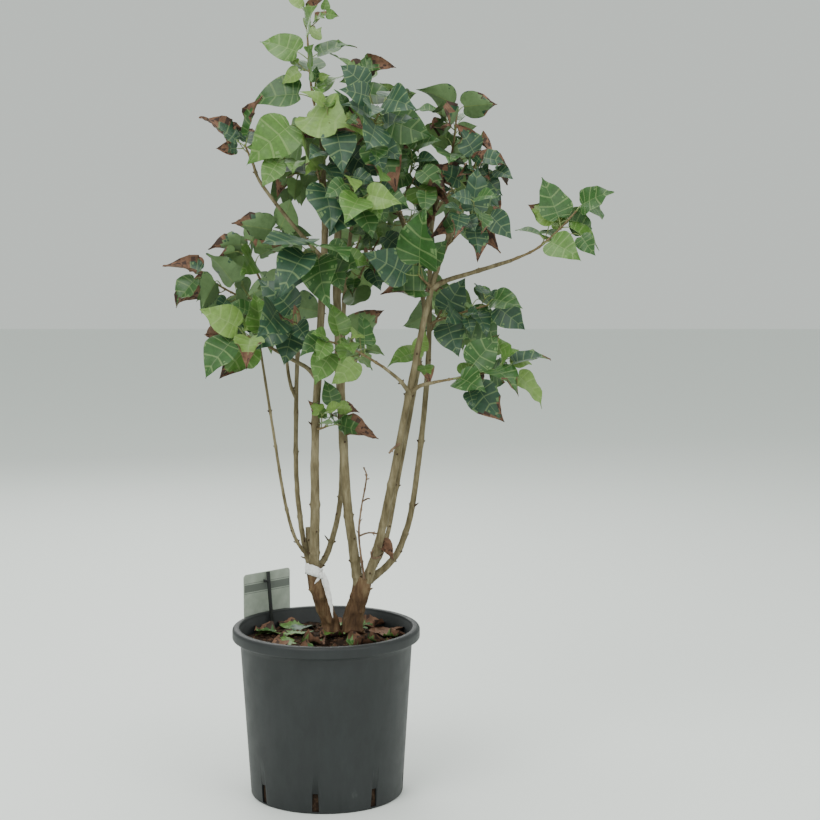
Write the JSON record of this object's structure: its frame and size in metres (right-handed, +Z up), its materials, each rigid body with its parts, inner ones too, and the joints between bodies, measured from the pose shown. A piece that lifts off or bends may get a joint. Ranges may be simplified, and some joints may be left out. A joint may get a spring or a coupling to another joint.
{
  "type": "potted lilac bush",
  "caption": "Upright garden shrub with slim bare stems and heart-shaped leaves, growing in a round black nursery pot with a plain label.",
  "frame": {"origin": "centre of the pot's flat underside, where the plant stands", "axes": "+Z up along the stems, +X to the right and +Y away as the plant is seen from its front, with the label at the back left"},
  "size_m": [0.6246, 0.3952, 1.1387],
  "materials": {
    "pot": "black moulded plastic with a soft blue-grey sheen, scuffed at the rim",
    "soil": "damp bark compost with dead leaves on it",
    "card": "pale grey-green plastic card with a plain grey band",
    "stick": "black moulded label stick",
    "paper": "crumpled white paper band",
    "trunk": "rough brown bark, knobby and lightly fissured",
    "bark": "smooth grey-olive bark with darker leaf scars in pairs",
    "dead": "dry brown dead wood",
    "leaf": "smooth green leaf with a paler midrib, some brown at tips and edges"
  },
  "bodies": {
    "root": {"pot": "pot", "soil": "soil", "label_card": "card", "label_stick": "stick", "paper_tie": "paper", "trunk_left": "trunk", "trunk_right": "trunk", "stem_1": "bark", "stem_2": "bark", "stem_2_left": "bark", "stem_2_stub": "bark", "stem_3": "bark", "stem_4": "bark", "stem_5": "bark", "stem_7": "bark", "stem_8": "bark", "stem_9": "bark", "dead_twig": "dead", "bough_left": "bark", "bough_high_left": "bark", "bough_inner": "bark", "bough_right": "bark", "bough_long_right": "bark", "leaves_leader_tip": "leaf", "leaves_leader_left": "leaf", "leaves_leader_front": "leaf", "leaves_leader_back": "leaf", "leaves_high_left": "leaf", "leaves_second_tip": "leaf", "leaves_second_left": "leaf", "leaves_second_right": "leaf", "leaves_second_back": "leaf", "leaves_middle_front": "leaf", "leaves_middle_tip": "leaf", "leaves_middle_back": "leaf", "leaves_fourth_tip": "leaf", "leaves_fourth_front": "leaf", "leaves_fourth_back": "leaf", "leaves_third_tip": "leaf", "leaves_third_back": "leaf", "leaves_right_tip": "leaf", "leaves_right_front": "leaf", "leaves_fork": "leaf", "leaves_far_right": "leaf", "leaves_side_right": "leaf", "leaves_low_right": "leaf", "leaves_low_middle": "leaf", "leaves_inner": "leaf", "leaves_left_tip": "leaf", "leaves_far_left": "leaf", "leaves_stem_2_left": "leaf", "leaves_stem_2_tip": "leaf", "leaves_green_shoot": "leaf", "leaves_front_low": "leaf", "leaves_inner_twig": "leaf", "leaves_low_pair": "leaf", "leaves_stem_1": "leaf", "leaves_back_right": "leaf", "leaves_back_left": "leaf", "leaves_back_low": "leaf"}
  },
  "joints": []
}
